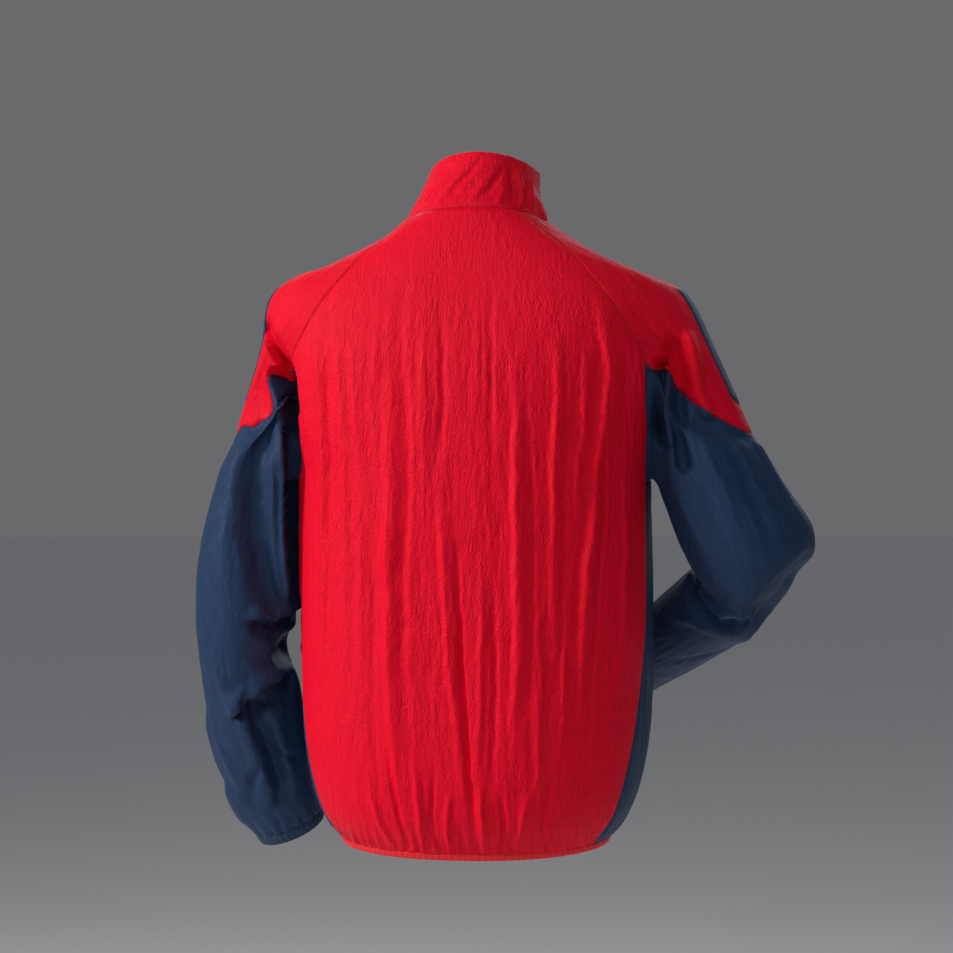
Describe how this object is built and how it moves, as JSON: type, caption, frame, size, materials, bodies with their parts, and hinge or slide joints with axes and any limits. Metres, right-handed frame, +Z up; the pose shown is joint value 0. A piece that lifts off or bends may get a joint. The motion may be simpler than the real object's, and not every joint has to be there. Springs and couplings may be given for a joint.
{
  "type": "windbreaker jacket",
  "caption": "Light zip-front windbreaker jacket with a stand collar, raglan yokes, side panels and elastic hem and cuffs, hollow and in its worn form.",
  "frame": {"origin": "centre of the collar seam, where the wearer's neck is and the jacket hangs from", "axes": "+Z up, -Y to the wearer's front, +X to the wearer's left"},
  "size_m": [0.6687, 0.3733, 0.7548],
  "materials": {
    "red_nylon": "crinkled light nylon",
    "navy_nylon": "crinkled light nylon",
    "zip_plastic": "moulded coil",
    "zip_metal": "plated zinc"
  },
  "bodies": {
    "jacket": {"back": "red_nylon", "front_left": "red_nylon", "front_right": "red_nylon", "side_left": "navy_nylon", "side_right": "navy_nylon", "collar": "red_nylon", "yoke_left": "red_nylon", "yoke_right": "red_nylon", "sleeve_left": "navy_nylon", "sleeve_right": "navy_nylon", "band_left": "navy_nylon", "band_right": "navy_nylon", "hem_binding": "red_nylon", "cuff_left": "navy_nylon", "cuff_right": "navy_nylon", "zip_tape": "navy_nylon", "zip_chain": "zip_plastic", "zip_slider": "zip_metal"},
    "pull": {"zip_pull": "zip_metal"}
  },
  "joints": [
    {"name": "pull_swing", "type": "hinge", "parent": "jacket", "child": "pull", "pos_m": [-0.00486, -0.09032, 0.01994], "axis": [-1, 0, 0], "range_deg": [0, 150]}
  ]
}
